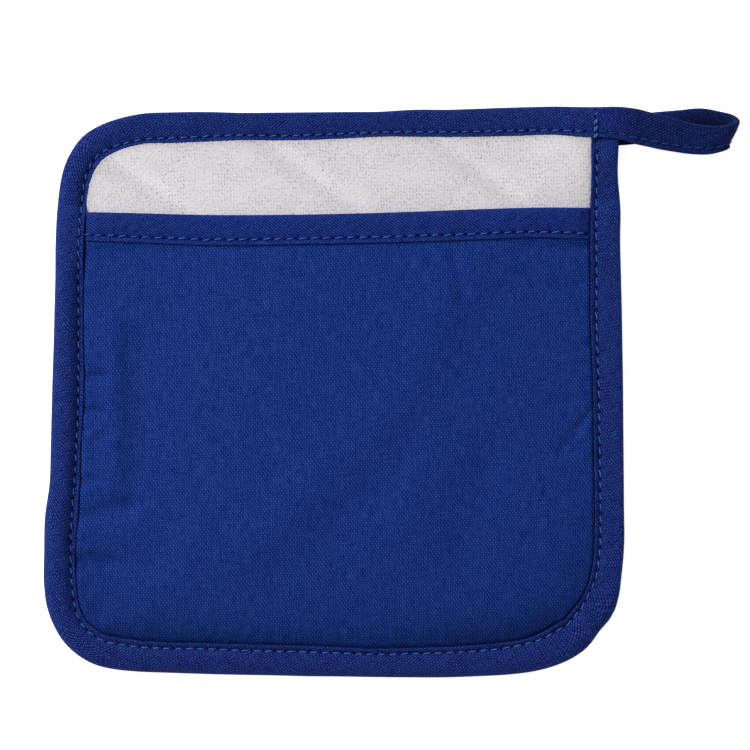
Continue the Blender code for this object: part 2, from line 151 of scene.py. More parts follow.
FOLDS = (
    # x and y of one end, x and y of the other, half width, height (below zero for a trough)
    (-78.2, 25, -77.8, -33, 4, 1), (-69.4, 17, -69.2, -28, 6.2, -0.85), (-62, 24, -63, -26, 8, -0.35),
    (-83, 12, -80, 9.5, 1.6, -0.5), (-84.5, -17, -80.5, -14, 2, -0.5), (-84, 34, -74, 27, 3.5, -0.3),
    (-86, 47, -78, 44, 3, -0.3), (-27.5, 50, -26, 34, 3.2, -0.5), (-12, 50, -13, 24, 4, -0.2),
    (40.5, 51, 43.5, 32, 2.6, -0.6), (43.5, 32, 50, 22, 3.5, -0.4), (52, 25, 35, -10, 9, -0.6),
    (33, -14, 2, -46, 9, -0.6), (-4, -50, -20, -63, 8, -0.6), (39, 31, 21, -4, 9, 0.5),
    (17, -9, -9, -34, 9, 0.5), (-14, -38, -31, -53, 8, 0.5), (53, -24, 43, -56, 8.5, -1.1),
    (37, -6, 22, -46, 6.5, 0.7), (66, 50.5, 88, 50.5, 2.6, -0.6), (57, 36, 84, 36, 4, -0.3),
    (89, -6, 77.5, -21.4, 1.5, -0.8), (89, -2, 76, -3.6, 1.5, -0.45), (-91, -43.5, -73, -40.3, 3.4, -1.5),
    (-90, -47, -66, -46, 4.5, 0.4), (-90, -51.5, -72, -51, 5, 0.5), (-91, -59, -80, -60.2, 3.2, -1.5),
    (-74, -60.8, -60, -62, 5, -0.5), (-89, -68, -74, -68, 5, 0.35), (-89, 5.7, -81.5, 5.4, 1.7, -1.5),
    (-89, -6.3, -82, -6.8, 1.7, -1.6), (-89, -30.6, -84, -31, 1.6, -1), (90, -66, 84, -61, 2, -0.6),
    (90, -48, 84.5, -46, 1.8, -0.35),
)
GATHER = 0.13  # height of the small gathers along the pocket's seam

# The loop: its end lies under the corner and lifts it
TAB_LEFT, TAB_LOW = 88.5, 85.5
LIFT = 2.6
LIFT_REACH = 24.0
CORNER_MIDDLE = LIFT + TERRY_HEIGHT / 2
THIN = 2.3  # thickness of the tape on its own
LEG_TOP = 8.2  # height of the upper leg's middle
FLAT = THIN / 2
LOOP_GROOVE, LOOP_INSET = 0.45, 2.3
LOOP = (
    # x, y, z of the tape's middle, its thickness, its width, degrees that its width leans to the right
    (99.2, 93.85, CORNER_MIDDLE, TERRY_HEIGHT, 11.6, 0), (104.5, 92.7, 6.2, 3.9, 12.3, 4),
    (109, 91.5, 7.3, 3, 12, 7), (113, 90.5, 8, 2.5, 11.9, 10), (118, 89.3, LEG_TOP, THIN, 11.3, 13),
    (126, 87.9, LEG_TOP, THIN, 10.6, 15), (132.6, 87.9, LEG_TOP, THIN, 10.4, 18),
    (136.5, 89.1, 7.2, THIN, 10.4, 20), (138.2, 90.65, 4.7, THIN, 10.5, 20),
    (137.1, 92.3, 2.2, THIN, 10, 19), (132.6, 93.5, FLAT, THIN, 10.2, 16),
    (126.5, 94.4, FLAT, THIN, 10.4, 12), (119.5, 93.7, FLAT, THIN, 10.5, 8),
    (111, 92.9, FLAT, THIN, 10.5, 4), (99, 91.7, FLAT, THIN, 10.5, 0), (90, 91.7, FLAT, THIN, 10.5, 0),
)

# Meshes
FINE_PITCH, GRID_PITCH = 1.0, 1.3
PATH_PITCH = 0.25  # of the points along the outline and the loop
CLOTH_INSET = 3.5  # of the cloths' edges from the outline
RINGS = (-3.5, -1.9, -1.2, -0.6, 0, 0.6, 1.2, 1.9, 2.7, 3.6, 4.7, 6, 7.5)  # past the binding

# Thread and pile
STITCH = np.linspace(-1, 1, 7)  # places along a stitch, from end to end
TACK = ((97.0, 0.5, 0.4), (94.2, 0.8, 0), (91.8, 0.75, 0), (89.4, 0.6, 0.2))  # y, half length, drop
THREAD = 0.22  # radius
LOOP_THREAD = 0.14  # on the loop
SLANTS = (0.1, 0.3)  # of the stitches across the picture and up it
TACK_PITCH = 2.6  # of its holes
TACK_THREAD = 0.33
TACK_SLANT, TACK_APART = 0.18, 0.3
DASH_SHARE, LOOP_DASH_SHARE = 0.62, 0.8  # of a stitch's pitch that shows
PILE_PITCH = np.array((1.03, 1.17))  # of the small gaps between the terry's loops, across and up
PILE_LEAN = 0.06  # of their columns
PILE_HEIGHT = 0.45
PILE_DEPTH = 0.9  # of the terry's face piece, top to bottom
PILE_COLUMNS, PILE_ROWS = (-96, 98), (42, 82)  # from the first gap to the last
PILE_STEP = 1 / 3  # of a gap's pitch between points
GAP_DEPTH = 0.07
GAP_SIZE = (0.44, 0.15)  # along its slant and across it

# Weave: pitch of the warp and of the weft
WARP, WEFT = 0.59, 0.82
BIAS, MOUTH_BIAS = (40, -40), (-40, 37)  # degrees of the weft and of the warp from the tape's length
CANVAS_CONTRAST = (0.55, 0.31, 0.17, 0.083)
TAPE_CONTRAST = (0.85, 0.90, 0.13, 0.13)
MOUTH_CONTRAST = (0.62, 0.74, 0.06, 0.09)
FIBRE_AND_HIGHLIGHT = (0.30, 0.40, 1.0)  # the share of each channel in the paler colour of the fibres and of the weave's painted highlights
YARN_MEAN = 0.637  # of a cosine without its sign
HOLE_LENGTH, HOLE_WIDTH = 0.55, 0.42  # of the painted shade in the pits at the stitches' ends
LOOP_SHADE, INNER_SHADE = 0.5, 0.8  # painted shade: how much darker the loop is, and its inner face by the turn

# Colours in linear light
CANVAS_BLUE = (0.0033, 0.0315, 0.199)
TAPE_BLUE = (0.002, 0.022, 0.158)
MOUTH_BLUE = (0.002, 0.0235, 0.175)
# the tape's blue, set apart for the loop to go with its painted shade
LOOP_BLUE = (0.0, 0.0205, 0.172)
YARNS = {
    "thread": (0.042, 0.125, 0.42),
    # the thread's blue, darker as painted shade on the loop
    "loop_thread": (0.024, 0.07, 0.24),
    "tack_thread": (0.05, 0.135, 0.42),
    "quilt_thread": (0.60, 0.52, 0.52),
}
TERRY_WHITE = (0.755, 0.728, 0.76)
FLOOR_WHITE = (0.93, 0.93, 0.93)
DARKEST = (0.0008, 0.001, 0.004)  # of any cloth, before its shade

# The picture: its middle and the width that it takes in, at the binding's height
VIEW_X, VIEW_Y = 13.2, 5.95
VIEW_WIDTH = 262.5
VIEW_HEIGHT = 3.0
LENS = 150.0
SENSOR = 36.0

# Light, in metres and watts
KEY_PLACE = (-1.45, 1.05, 1.5)
KEY_SIZE = 1.4
KEY_WATTS = 54.0
SKY = 0.34
FLOOR_GLOW = 0.8


def ease(t):
    """Rises from 0 to 1, steeply at first and level at the end."""
    return 1 - (1 - np.clip(t, 0, 1)) ** 2


def blend(t):
    """Rises from 0 to 1, level at both ends."""
    t = np.clip(t, 0, 1)
    return t * t * (3 - 2 * t)


def unit(vectors):
    """The vectors, which lie along the last axis, at length 1."""
    return vectors / np.linalg.norm(vectors, axis=-1, keepdims=True)


def smooth(rows, pitch, axes):
    """Rows about pitch apart on a smooth curve through the rows, which start with a place's axes."""
    rows = np.array(rows, float)
    steps = np.linalg.norm(np.diff(rows[:, :axes], axis=0), axis=1)
    run = np.concatenate([[0.0], np.cumsum(steps)])
    slope = np.gradient(rows, run, axis=0)
    at = np.linspace(0, run[-1], round(run[-1] / pitch) + 1)
    k = np.clip(np.searchsorted(run, at, side="right") - 1, 0, len(steps) - 1)
    length = steps[k][:, None]
    t = (at - run[k])[:, None] / length
    start = (1 + 2 * t) * (1 - t) ** 2 * rows[k] + t * (1 - t) ** 2 * length * slope[k]
    end = t**2 * (3 - 2 * t) * rows[k + 1] + t**2 * (t - 1) * length * slope[k + 1]
    return start + end


def lengths(points):
    """Length along the points up to each of them."""
    return np.concatenate([[0.0], np.cumsum(np.linalg.norm(np.diff(points, axis=0), axis=1))])


def columns_at(at, run, table):
    """Rows of the table read between its own rows at the given lengths."""
    return np.column_stack([np.interp(at, run, column) for column in table.T])


# The outline at a fine pitch, and the seam's length along it
EDGE = smooth(OUTLINE, PATH_PITCH, 2)
EDGE_RUN = lengths(EDGE[:, :2])
EDGE_HEADING = unit(np.gradient(EDGE[:, :2], EDGE_RUN, axis=0))
EDGE_INWARD = np.column_stack([-EDGE_HEADING[:, 1], EDGE_HEADING[:, 0]])
SEAM_RUN = lengths(EDGE[:, :2] + EDGE_INWARD * (EDGE[:, 2:3] - EDGE[:, 3:4]))
EDGE_TREE = KDTree(len(EDGE))
for number, row in enumerate(EDGE):
    EDGE_TREE.insert((row[0], row[1], 0), number)
EDGE_TREE.balance()
BINDING_END = EDGE_RUN[-1] - CORNER_WIDTH + TUCKED_UNDER

# The loop's middle line, from its end under the corner to the tack
TACK_EDGE, TACK_WIDTH = columns_at(np.array([BINDING_START]), EDGE_RUN, EDGE)[0, 1:3]
TACK_ROW = (TACK_X, TACK_EDGE - TACK_WIDTH / 2, CORNER_MIDDLE, TERRY_HEIGHT, TACK_WIDTH, 0)
LOOP_PATH = smooth((TACK_ROW, *LOOP), PATH_PITCH, 3)[::-1]
LOOP_RUN = lengths(LOOP_PATH[:, :3])

MOUTH_ROWS = smooth(MOUTH, 1.0, 2)


def inside(points):
    """How far each point is past the inner edge of the binding."""
    found = [EDGE_TREE.find((x, y, 0)) for x, y in points]
    nearest = np.array([hit[1] for hit in found])
    side = np.sum((points - EDGE[nearest, :2]) * EDGE_INWARD[nearest], axis=1)
    return np.copysign([hit[2] for hit in found], side) - EDGE[nearest, 2]


def lift(points):
    """How far the loop's end raises the corner above it."""
    away = np.hypot(np.maximum(TAB_LEFT - points[:, 0], 0), np.maximum(TAB_LOW - points[:, 1], 0))
    return LIFT * blend(1 - away / LIFT_REACH)


def thread_places(points):
    """Each point's signed distances from both families' nearest quilting threads."""
    place = np.linalg.solve(QUILT_STEPS, (points - CROSSING).T).T
    return (place - np.round(place)) * QUILT_SPACING


def bare(points):
    """1 where the terry shows, and 0 under the pocket."""
    return blend((points[:, 1] - mouth(points[:, 0])[0]) / 1.5 + 1)


def edge_height(points, past):
    """Height of the pad's front at the binding, less at its stitches and at the square corner."""
    away = np.hypot(*(points - (CORNER_X - 4, CORNER_Y - CORNER_WIDTH)).T)
    pinched = PINCH * blend((1.0 - bare(points) - past) / 1.3)
    return PAD_EDGE_TOP + lift(points) - pinched - 0.5 * blend(2 - away / 7)


def lower_right(points):
    """Rises from 0 to 1 toward the lower right corner."""
    return blend((points[:, 0] - points[:, 1] - 90) / 60)


def beside(points):
    """1 toward the left and the right, and 0 toward the top and the bottom."""
    return blend((np.abs(points[:, 0]) - np.abs(points[:, 1]) + 10) / 20)


def rounding(points, past):
    """Rises from 0 at the binding to 1 inside, sooner at the bottom and the right."""
    x, y = points.T
    below = blend((10 - y - np.abs(x)) / 20)
    corner = lower_right(points)
    steep = STEEP + STEEP_BELOW * below + STEEP_CORNER * corner
    gentle = (past - 0.5) / (FAR + (FAR_BELOW - FAR) * below)
    gentle = ease(gentle) + (blend(gentle) - ease(gentle)) * blend((y - x + 20) / 40)
    return steep * ease((past - 0.5) / (NEAR * (1 + 0.6 * corner))) + (1 - steep) * gentle


def envelope(points, past):
    """Height of the pad's front below the pocket, as if it had no quilting."""
    start = 0.1 - 0.2 * points[:, 0] / CORNER_X
    rise = np.interp(points[:, 0], (-CORNER_X, CORNER_X), SIDE_RISES) * beside(points)
    low = edge_height(points, past) + rise * blend((past - start) / 0.75)
    return low + (PAD_CROWN - low) * rounding(points, past)


def pad_front(points, past):
    """Height of the pad's front, low along the quilting."""
    away = np.abs(thread_places(points))
    sunk = 0.85 * (1 - 2 * away / QUILT_SPACING) ** 2 + 0.15 * np.exp(-((away / 2.4) ** 2))
    puff = np.prod(1 - QUILT_DEPTHS * sunk, axis=1)
    low = edge_height(points, past)
    crown = PAD_CHANNEL + (PAD_CROWN - PAD_CHANNEL) * puff
    plump = PLUMP * bare(points) * blend((past + 0.7) / 1.1) * (1 - blend((past - 1) / 12))
    return low + (crown - low) * rounding(points, past) + plump


def pad_back(points, past):
    """Height of the pad's back, drawn in at the quilting and the binding."""
    drawn = BACK_CHANNEL * blend(1 - np.abs(thread_places(points)).min(axis=1) / CHANNEL_REACH)
    edge = PAD_EDGE_FLOOR * (1 - ease((past - 0.5) / NEAR))
    return lift(points) + np.maximum(drawn, edge)


def fold_height(points):
    """Height that the pocket's folds add."""
    total = np.zeros(len(points))
    for x0, y0, x1, y1, half, height in FOLDS:
        start = np.array((x0, y0))
        span = np.array((x1, y1)) - start
        reached = np.clip((points - start) @ span / (span @ span), 0, 1)
        away = np.linalg.norm(points - start - reached[:, None] * span, axis=1)
        total += height * np.exp(-((away / half) ** 2))
    return total


def pocket_middle(points, past):
    """Height of the middle of the pocket's cloth."""
    x, y = points.T
    gape = GAPE * blend(np.minimum(x - GAPE_SIDES[0], GAPE_SIDES[1] - x) / GAPE_RISE)
    gape *= 0.8 * blend((y - GAPE_FROM) / (GAPE_FULL - GAPE_FROM)) + 0.3 * blend(y / MOUTH[0][1])
    free = rounding(points, past)
    turn = np.arctan2(y, x)
    gathers = GATHER * np.sin(83 * turn + 3 * np.sin(7 * turn)) * np.exp(-(((past - 3.5) / 3.5) ** 2))
    gathers *= 1 + 1.5 * lower_right(points)
    drawn = blend((past + 1) / 3) * fold_height(points)
    room = free * (SLACK - 0.3) + gape * blend(past / 8)
    return envelope(points, past) + LAYER_RISE + room + drawn + gathers


def mouth(x):
    """The Y of the upper edge and of the lower edge of the pocket's tape."""
    top = np.interp(x, MOUTH_ROWS[:, 0], MOUTH_ROWS[:, 1])
    return top, top - np.interp(x, MOUTH_ROWS[:, 0], MOUTH_ROWS[:, 2])


def add_object(name, data):
    """A new object in the scene."""
    made = bpy.data.objects.new(name, data)
    bpy.context.scene.collection.objects.link(made)
    return made


def add_mesh(name, verts, faces, finish, **maps):
    """A smooth mesh from points in millimetres, with UV maps of two values a point."""
    data = bpy.data.meshes.new(name)
    data.from_pydata(np.asarray(verts, float) * MM, [], faces)
    corners = np.zeros(len(data.loops), int)
    data.loops.foreach_get("vertex_index", corners)
    for label, values in maps.items():
        layer = data.uv_layers.new(name=label)
        layer.data.foreach_set("uv", np.asarray(values, np.float32)[corners].ravel())
    data.shade_smooth()
    data.materials.append(finish)
    return add_object(name, data)


def thicken(piece, thickness, offset):
    """Give an open surface its thickness: to its back at offset -1, or to both sides at 0."""
    solid = piece.modifiers.new("thickness", "SOLIDIFY")
    solid.thickness = thickness * MM
    solid.offset = offset
    solid.use_even_offset = offset < 0
    return piece


def grid_faces(rows, columns):
    """Quads over a grid of points that is stored row by row."""
    first = (np.arange(rows - 1)[:, None] * columns + np.arange(columns - 1)).ravel()
    return np.column_stack([first, first + columns, first + columns + 1, first + 1]).tolist()


def half_profile(width, half, roll, groove, sag, inset):
    """From the tape's fold to its turned edge: distance in, and height over its middle."""
    seam = width - inset
    columns = []
    for angle in np.radians((0, 12, 26, 42, 58, 74, 90)):
        columns.append((roll * (1 - math.cos(angle)), half * math.sin(angle)))
    for share in (0.2, 0.4, 0.58, 0.74, 0.87, 1.0):
        drop = groove * share**2.3 + sag * blend(2 * share - 1)
        columns.append((roll + (seam - roll) * share, half - drop))
    top = half - groove + LIP_RISE
    low = half - groove - sag
    edge = width - LIP_FOLD
    for share, climb, sunk in ((0.3, 0.2, 1.0), (0.65, 0.6, 0.7)):
        columns.append((seam + (edge - seam) * share, low + (top - low) * climb - LIP_VALLEY * sunk))
    for angle in np.radians((90, 55, 20, -20, -55, -90)):
        columns.append((edge + LIP_FOLD * math.cos(angle), top + LIP_FOLD * (math.sin(angle) - 1)))
    columns.append((edge - LIP_UNDER, top - 2 * LIP_FOLD))
    return np.stack([np.stack(np.broadcast_arrays(*column), axis=-1) for column in columns], axis=1)


def full_profile(width, height, roll, groove, back_groove, inset, seam):
    """The section from the back's turned edge round to the front's, and the fold's column."""
    near = np.abs(seam - np.round(seam)) * SEAM_PITCH
    sag = HOLE_DEPTH * np.exp(-((near / HOLE_REACH) ** 2))
    front = half_profile(width, height / 2, roll, groove, sag, inset)
    back = half_profile(width, height / 2, roll, back_groove, 0 * sag, inset)[:, :0:-1]
    return np.concatenate([back * (1, -1), front], axis=1), back.shape[1]


def tape_maps(profile, fold, along, seam, beside):
    """Each point's place on the tape, its count of stitches and its distance from them."""
    across = np.cumsum(np.linalg.norm(np.diff(profile, axis=1, prepend=profile[:, :1]), axis=2), axis=1)
    across -= across[:, fold][:, None]
    cloth = np.stack([np.broadcast_to(along[:, None], across.shape), across], axis=-1)
    away = profile[:, :, 0] - beside[:, None]
    stitch = np.stack([np.broadcast_to(seam[:, None], across.shape), away], axis=-1)
    return {"cloth": cloth.reshape(-1, 2), "stitch": stitch.reshape(-1, 2)}


def ripple(along, away, width):
    """Slight waves slanting across the tape, left by the sewing."""
    waves = np.sin(along / 1.9 + away / 2.6 + 2 * np.sin(along / 13))
    waves = waves + 1.5 * np.sin(along / 3.7 - away / 3 + 1.7)
    return RIPPLE * waves * np.sin(np.pi * np.clip(away / width, 0, 1))


def tape(name, sections, seam, finish):
    """Folded tape from its sections and the stitches counted up to each of them."""
    start, inward, up, width, height, groove, back_groove, inset = sections
    roll = width * (ROLL_SHARE + np.maximum(inward[:, :2] * WIDE_ROLL, 0).max(axis=1))
    roll = np.minimum(roll, 0.95 * height)
    profile, fold = full_profile(width, height, roll, groove, back_groove, inset, seam)
    along = seam * SEAM_PITCH
    away = profile[:, :, :1]
    rise = profile[:, :, 1:] + (height / 2)[:, None, None]
    rise[:, fold:, 0] += ripple(along[:, None], profile[:, fold:, 0], width[:, None])
    verts = start[:, None] + inward[:, None] * away + up[:, None] * rise
    maps = tape_maps(profile, fold, along, seam, width - inset)
    made = add_mesh(name, verts.reshape(-1, 3), grid_faces(*profile.shape[:2]), finish, **maps)
    return thicken(made, TAPE_CLOTH, -1)


def seam_line(sections, slant, back=False):
    """Places in the sections' valleys, moved in by slant, and the way out of the cloth."""
    start, inward, up, width, height, groove, back_groove, inset = sections
    place = start + inward * (width - inset + slant)[:, None]
    if back:
        return place + up * back_groove[:, None], -up
    return place + up * (height - groove)[:, None], up


def binding_sections(at):
    """The binding's sections at lengths along the outline."""
    x, y, width, inset = columns_at(at, EDGE_RUN, EDGE).T
    inward = np.column_stack([unit(columns_at(at, EDGE_RUN, EDGE_INWARD)), np.zeros(len(at))])
    height = np.interp(y, ZONES, (POCKET_HEIGHT, TAPE_HEIGHT, TAPE_HEIGHT, TERRY_HEIGHT))
    left, top = np.maximum(inward[:, 0], 0) ** 2, np.maximum(-inward[:, 1], 0) ** 2
    groove = GROOVE + TOP_GROOVE * top + LEFT_GROOVE * left * np.interp(y, ZONES, (1, 1, 1, 0.7))
    height = height + LEFT_HEIGHT * left * np.interp(y, ZONES, (1, 0, 0, 0.7))
    over_tape = np.interp(y, ZONES, (0, 1, 1, 0))
    groove += (TAPE_END_GROOVE - groove) * over_tape
    tucked = blend(1 - (EDGE_RUN[-1] - CORNER_WIDTH - at) / TUCK_REACH)
    height = height - TUCK_DROP * tucked
    groove += (TUCK_GROOVE - groove) * tucked
    start = np.column_stack([x, y, lift(np.column_stack([x, y]))])
    up = np.broadcast_to((0.0, 0.0, 1.0), inward.shape)
    return start, inward, up, width, height, groove, np.full(len(at), GROOVE), inset


def binding_count(at):
    """Stitches counted along the outline's seam from the tack."""
    return (np.interp(at, EDGE_RUN, SEAM_RUN) - np.interp(BINDING_START, EDGE_RUN, SEAM_RUN)) / SEAM_PITCH


def make_binding(finishes):
    """Folded bias tape round the edge, from the tack to under the corner."""
    total = binding_count(BINDING_END)
    seam = np.arange(0, total, 1 / SECTIONS_PER_STITCH)
    at = np.interp(seam, binding_count(EDGE_RUN), EDGE_RUN)
    made = tape("binding_cloth", binding_sections(at), seam, finishes["tape"])
    return ride(made, "tape", "binding")


def loop_sections(at):
    """The loop's sections at lengths back from its end under the corner."""
    heading = columns_at(at, LOOP_RUN, np.gradient(LOOP_PATH[:, :3], LOOP_RUN, axis=0))
    place = columns_at(at, LOOP_RUN, LOOP_PATH)
    thickness, width, lean = place[:, 3], place[:, 4], np.radians(place[:, 5])
    across = np.column_stack([np.sin(lean), np.cos(lean), np.zeros(len(at))])
    up = unit(np.cross(across, heading))
    centre = place[:, :3].copy()
    centre[:, 2] = np.maximum(centre[:, 2], thickness / 2)
    start = centre + across * (width / 2)[:, None] - up * (thickness / 2)[:, None]
    share = (thickness - THIN) / (TERRY_HEIGHT - THIN)
    groove = LOOP_GROOVE + (GROOVE - LOOP_GROOVE) * share
    inset = LOOP_INSET + (CORNER_INSET - LOOP_INSET) * share
    return start, -across, up, width, thickness, groove, groove, inset


def make_loop(finishes):
    """The tape's tail: out from the corner, round, and back under it."""
    count = math.floor(LOOP_RUN[-1] / SEAM_PITCH)
    seam = np.linspace(-count, 0, count * SECTIONS_PER_STITCH + 1)
    made = tape("loop_cloth", loop_sections(LOOP_RUN[-1] + seam * SEAM_PITCH), seam, finishes["loop_tape"])
    return ride(made, "tape", "loop")


def mouth_sections(x):
    """The pocket's tape at each x: its upper edge, width, thickness and groove."""
    top, low = mouth(x)
    opened = blend((inside(np.column_stack([x, low])) - 0.5) / TAPE_CLOSING)
    return top, top - low, 2.3 + 1.3 * opened, MOUTH_GROOVE * (0.4 + 0.6 * opened)


def mouth_height(points, thickness):
    """Height of the middle between the legs of the pocket's tape."""
    past = inside(points)
    low = envelope(points, past) + 0.3 + thickness / 2
    return np.maximum(pocket_middle(points, past), low)


def make_pocket_tape(finishes):
    """Folded tape over the pocket's mouth."""
    x = np.arange(MOUTH_END, -MOUTH_END - 0.01, -MOUTH_PITCH / SECTIONS_PER_STITCH)
    top, width, thickness, groove = mouth_sections(x)
    seam = (MOUTH_END - x) / MOUTH_PITCH
    roll = np.full(len(x), MOUTH_ROLL)
    inset = np.full(len(x), MOUTH_SEAM)
    profile, fold = full_profile(width, thickness, roll, groove, 0.5 * groove, inset, seam)
    count, points = profile.shape[:2]
    y = top[:, None] - profile[:, :, 0]
    places = np.column_stack([np.repeat(x, points), y.ravel()])
    height = mouth_height(places, np.repeat(thickness, points)) + profile[:, :, 1].ravel()
    maps = tape_maps(profile, fold, MOUTH_END - x, seam, width - MOUTH_SEAM)
    verts = np.column_stack([places, height])
    made = add_mesh("pocket_tape_cloth", verts, grid_faces(count, points), finishes["mouth_tape"], **maps)
    thicken(made, TAPE_CLOTH, -1)
    return ride(made, "tape", "pocket_tape")


def ring(inset, shift, pitch=FINE_PITCH):
    """The outline moved in by inset and by shift times the binding's width."""
    corner = inset + shift * CORNER_WIDTH
    at = np.linspace(corner + pitch, EDGE_RUN[-1] - corner - pitch, round(EDGE_RUN[-1] / pitch))
    x, y, width, _ = columns_at(at, EDGE_RUN, EDGE).T
    inward = unit(columns_at(at, EDGE_RUN, EDGE_INWARD))
    points = np.column_stack([x, y]) + inward * (inset + shift * width)[:, None]
    return np.vstack([(CORNER_X - corner, CORNER_Y - corner), points])


def body_points():
    """Points over the body: rings along the binding, and rows inside them."""
    steps = np.arange(-CORNER_X, CORNER_X, GRID_PITCH)
    x, y = np.meshgrid(steps, steps)
    x[::2] += GRID_PITCH / 2
    points = np.column_stack([x.ravel(), y.ravel()])
    rings = [ring(past, 1) for past in RINGS]
    return np.vstack([*rings, points[inside(points) > RINGS[-1] + 1]])


def triangulate(border, points):
    """Places and faces of a flat mesh inside the border with corners at the points."""
    corners = [Vector(p) for p in np.vstack([border, points])]
    result = delaunay_2d_cdt(corners, [], [range(len(border))], 1, 1e-4)
    used = sorted({k for face in result[2] for k in face})
    renumbered = {old: new for new, old in enumerate(used)}
    places = np.array([tuple(result[0][k]) for k in used])
    return places, [[renumbered[k] for k in face] for face in result[2]]


def closed(faces, under, count):
    """Faces of a front of count points, a back with the same border, and the walls between."""
    edges = {(a, b) for face in faces for a, b in zip(face, face[1:] + face[:1])}
    walls = [(b, a, a + count, b + count) for a, b in sorted(edges) if (b, a) not in edges]
    return [*faces, *([k + count for k in reversed(face)] for face in under), *walls]


def make_pad(finishes):
    """The quilted pad: two faces over the same flat mesh, joined round their edge."""
    places, faces = triangulate(ring(CLOTH_INSET, 0), body_points())
    past = inside(places)
    flat = np.vstack([places, places])
    verts = np.column_stack([flat, np.concatenate([pad_front(places, past), pad_back(places, past)])])
    made = add_mesh("pad_cloth", verts, closed(faces, faces, len(places)), finishes["terry"], cloth=flat)
    return ride(made, "terry", "pad")


def seam_shade(points):
    """Painted shade on the pocket: the share of light left at its seam, least in the lower corners, a little
    less toward the bottom.
    """
    x, y = points.T
    past = np.maximum(inside(points), 0)
    share = 0.14 + 0.2 * lower_right(points) + 0.1 * blend((-x - y - 110) / 50)
    shade = share * np.exp(-past / 8) * blend((-y - 20) / 60) + 0.05 * blend((-y - 10) / 80)
    return np.column_stack([1 - shade, past])


def make_pocket(finishes):
    """The pocket's cloth over the pad, with its folds."""
    edge = ring(CLOTH_INSET, 0)
    edge = edge[edge[:, 1] < mouth(edge[:, 0])[0] - TUCK_DEPTH - 0.5]
    across = np.linspace(edge[-1, 0], edge[0, 0], 130)
    border = np.vstack([edge, np.column_stack([across, mouth(across)[0] - TUCK_DEPTH])])
    points = body_points()
    low_enough = points[:, 1] < mouth(points[:, 0])[0] - TUCK_DEPTH - 0.8
    places, faces = triangulate(border, points[low_enough])
    below = mouth(places[:, 0])[1] - places[:, 1]
    thickness = mouth_sections(places[:, 0])[2]
    tucked = blend(1 - below / 3)
    height = pocket_middle(places, inside(places)) * (1 - tucked) + mouth_height(places, thickness) * tucked
    # The seam map carries the painted shade along the pocket's seam.
    made = add_mesh("pocket_cloth", np.column_stack([places, height]), faces, finishes["canvas"],
                    cloth=places, seam=seam_shade(places))
    thicken(made, CANVAS, 0)
    return ride(made, "canvas", "pocket")


def ride(piece, slot, *nodes):
    """Fix the piece to the body, in place of the nodes; slot is not used."""
    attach(piece, "root")
    if nodes:
        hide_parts(*nodes)
    return piece


def tubes(name, paths, radii, sides, finish):
    """Closed tubes along paths (tube, point, place), with a radius at each point."""
    heading = unit(np.gradient(paths, axis=1))
    side = unit(np.cross(heading, (0.0, 0.0, 1.0)) + (1e-6, 0, 0))
    over = np.cross(side, heading)
    angles = np.arange(sides) * 2 * math.pi / sides
    turn = np.cos(angles)[:, None] * side[:, :, None] + np.sin(angles)[:, None] * over[:, :, None]
    verts = paths[:, :, None] + turn * np.broadcast_to(radii, paths.shape[:2])[:, :, None, None]
    count, points = paths.shape[:2]
    k = np.arange(sides)
    walls = np.column_stack([k, (k + 1) % sides, (k + 1) % sides + sides, k + sides])
    walls = (walls + np.arange(points - 1)[:, None, None] * sides).reshape(-1, 4)
    caps = [list(reversed(range(sides))), list(range((points - 1) * sides, points * sides))]
    faces = []
    for number in range(count):
        first = number * points * sides
        faces += (walls + first).tolist()
        faces += [[first + corner for corner in cap] for cap in caps]
    return add_mesh(name, verts.reshape(-1, 3), faces, finish)


def dashes(first, last, slant, thread=THREAD, shown=DASH_SHARE):
    """Each stitch's counts, how far it goes aside, and how far it stands out."""
    number = last - first
    random = np.random.default_rng(number)
    half = shown / 2 * random.uniform(0.86, 1.08, (number, 1))
    counts = np.arange(first, last)[:, None] + 0.5 + random.normal(0, 0.03, (number, 1)) + STITCH * half
    aside = slant * STITCH * random.uniform(0.6, 1.4, (number, 1)) + random.normal(0, 0.07, (number, 1))
    rise = thread * random.uniform(0.5, 0.8, (number, 1)) - 1.7 * thread * np.abs(STITCH) ** 4
    return counts.ravel(), aside.ravel(), rise.ravel()


def sew(name, rise, place, out, finish, thread=THREAD):
    """Joined stitches: the thread shows between its holes and dips into them."""
    paths = (place + out * rise[:, None]).reshape(-1, len(STITCH), 3)
    taper = 1 - 0.45 * np.abs(STITCH) ** 3
    return ride(tubes(name, paths, thread * taper, 6, finish), "tape")


def sew_through(label, rise, sections, aside, finish, thread=THREAD):
    """One row as it shows on the tape's front and on its back."""
    for face, back in (("", False), ("_back", True)):
        sew(f"{label}{face}_stitches", rise, *seam_line(sections, aside, back), finish, thread)


def make_binding_stitches(finishes):
    """The row of stitches round the binding."""
    counts, aside, rise = dashes(1, math.floor(binding_count(BINDING_END)) - 1, 1.0)
    sections = binding_sections(np.interp(counts, binding_count(EDGE_RUN), EDGE_RUN))
    aside *= np.interp(np.abs(sections[1][:, 0]), (0, 1), SLANTS)
    sew_through("binding", rise, sections, aside, finishes["thread"])


def make_loop_stitches(finishes):
    """The row's end along the loop's edge."""
    first = 1 - math.floor(LOOP_RUN[-1] / SEAM_PITCH)
    counts, aside, rise = dashes(first, 0, 0.12, LOOP_THREAD, LOOP_DASH_SHARE)
    sections = loop_sections(LOOP_RUN[-1] + counts * SEAM_PITCH)
    sew_through("loop", rise, sections, aside, finishes["loop_thread"], LOOP_THREAD)


